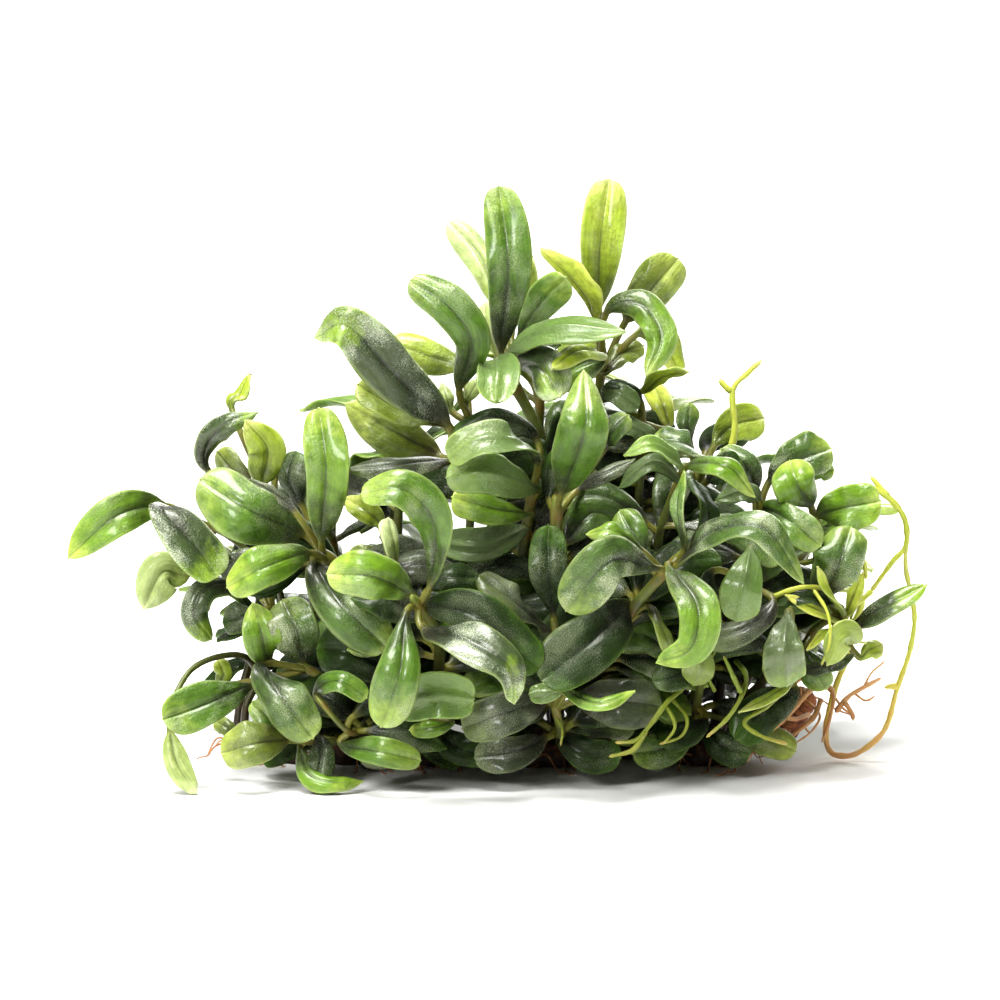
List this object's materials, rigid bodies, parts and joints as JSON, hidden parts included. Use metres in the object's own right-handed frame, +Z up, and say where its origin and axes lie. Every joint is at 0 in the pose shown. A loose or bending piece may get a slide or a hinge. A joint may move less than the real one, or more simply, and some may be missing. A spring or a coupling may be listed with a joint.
{
  "type": "bucephalandra plant",
  "caption": "Dense clump of a small rhizome plant: leafy shoots with glossy oblong leaves, creeping rhizomes cut flat underneath, and thin looping roots.",
  "frame": {"origin": "centre of the clump's bounding box, at the surface it rests on", "axes": "+X to the right along the longest side, +Y to the back, +Z up"},
  "size_m": [0.0856, 0.058, 0.0585],
  "materials": {
    "leaf": "waxy living leaf, glossy, dark green to lime with a paler edge",
    "stem": "smooth living stem, olive to yellow-green",
    "root": "thin living root, yellow-lime turning orange-brown",
    "rhizome": "reddish-brown rhizome with rings and scars"
  },
  "bodies": {
    "root": {"rhizome_main": "rhizome", "rhizome_left": "rhizome", "rhizome_front": "rhizome", "rhizome_centre_front": "rhizome", "rhizome_right_front": "rhizome", "rhizome_back_left": "rhizome", "rhizome_back": "rhizome", "rhizome_back_right": "rhizome", "root_loop": "root", "root_brown": "root", "root_top": "root", "root_low_front": "root", "root_low_right": "root", "root_front_tips": "root", "root_ground_brown": "root", "root_back_left": "root", "root_back_right": "root", "shoot_top_centre": "leaf", "shoot_top_right": "leaf", "shoot_twist": "leaf", "shoot_left_top": "leaf", "shoot_centre_left": "leaf", "shoot_centre": "leaf", "shoot_upper_right": "leaf", "shoot_right_mid": "leaf", "shoot_right_front": "leaf", "shoot_right_arch": "leaf", "shoot_right_upper": "leaf", "shoot_right_side": "leaf", "shoot_right_low": "leaf", "shoot_right_speckled": "leaf", "shoot_left": "leaf", "shoot_front": "leaf", "shoot_mid_left": "leaf", "shoot_left_far_top": "leaf", "shoot_left_far": "leaf", "shoot_left_curl": "leaf", "shoot_left_low": "leaf", "shoot_left_trailing": "leaf", "shoot_left_bottom": "leaf", "shoot_left_front": "leaf", "shoot_front_low": "leaf", "shoot_front_mid": "leaf", "shoot_centre_low": "leaf", "shoot_bottom_right": "leaf", "shoot_right_dark": "leaf", "shoot_back_left": "leaf", "shoot_back_left_high": "leaf", "shoot_back_far_left": "leaf", "shoot_back_low_left": "leaf", "shoot_back_centre": "leaf", "shoot_back_top": "leaf", "shoot_back_low": "leaf", "shoot_back_right": "leaf", "shoot_back_right_high": "leaf", "shoot_back_low_right": "leaf", "shoot_back_side_right": "leaf", "shoot_back_side_left": "leaf"}
  },
  "joints": []
}
